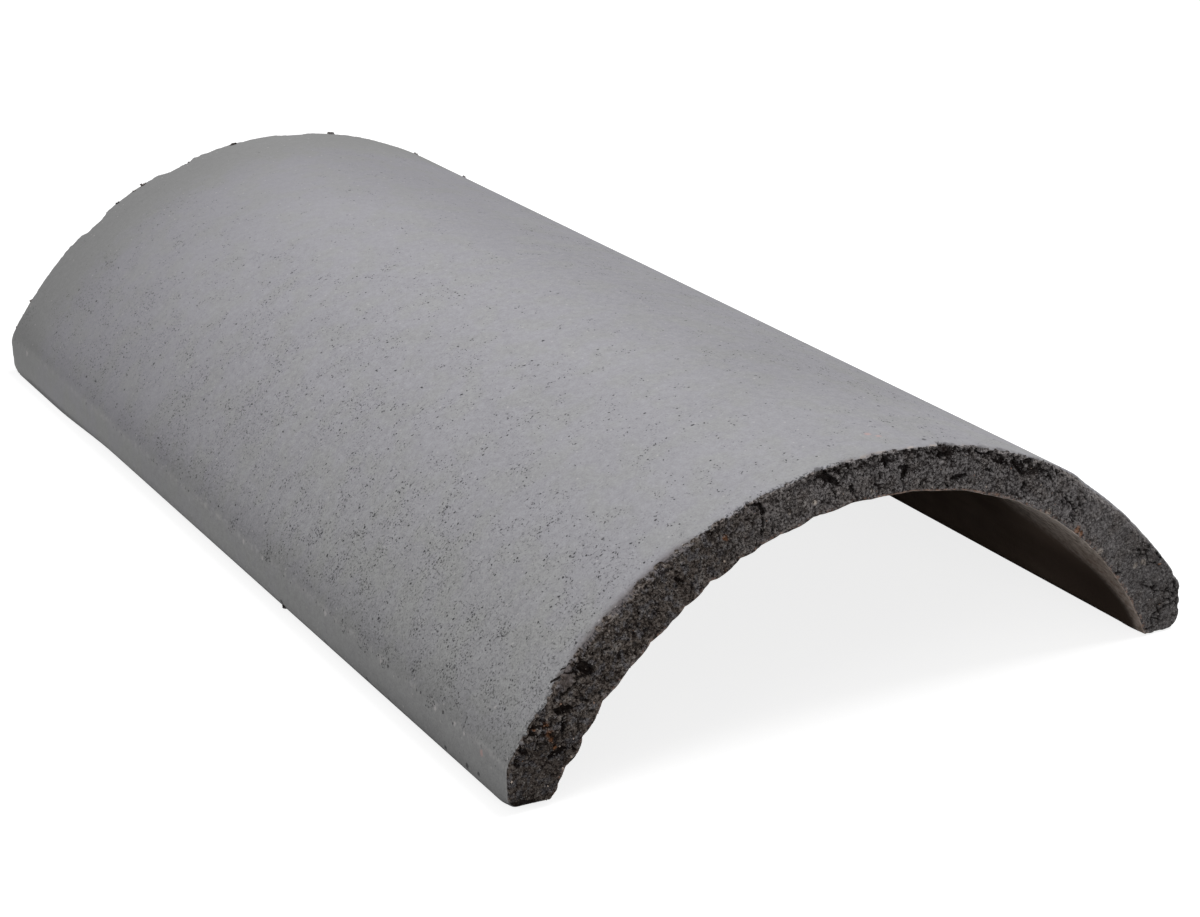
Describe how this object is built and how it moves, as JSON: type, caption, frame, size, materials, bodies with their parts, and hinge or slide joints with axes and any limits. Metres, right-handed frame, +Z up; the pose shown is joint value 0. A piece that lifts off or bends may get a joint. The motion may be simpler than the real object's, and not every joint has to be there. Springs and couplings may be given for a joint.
{
  "type": "segmental ridge tile",
  "caption": "Concrete ridge tile: a shallow arch on upright feet, with square cut ends, laid end to end to cap a roof's ridge.",
  "frame": {"origin": "on the bed that the feet stand on, below the middle of the tile", "axes": "+X across the tile, from foot to foot; +Y along the ridge; +Z up, through the crown"},
  "size_m": [0.245, 0.45, 0.085],
  "materials": {
    "concrete": "matte"
  },
  "bodies": {
    "root": {"ridge_tile": "concrete"}
  },
  "joints": []
}
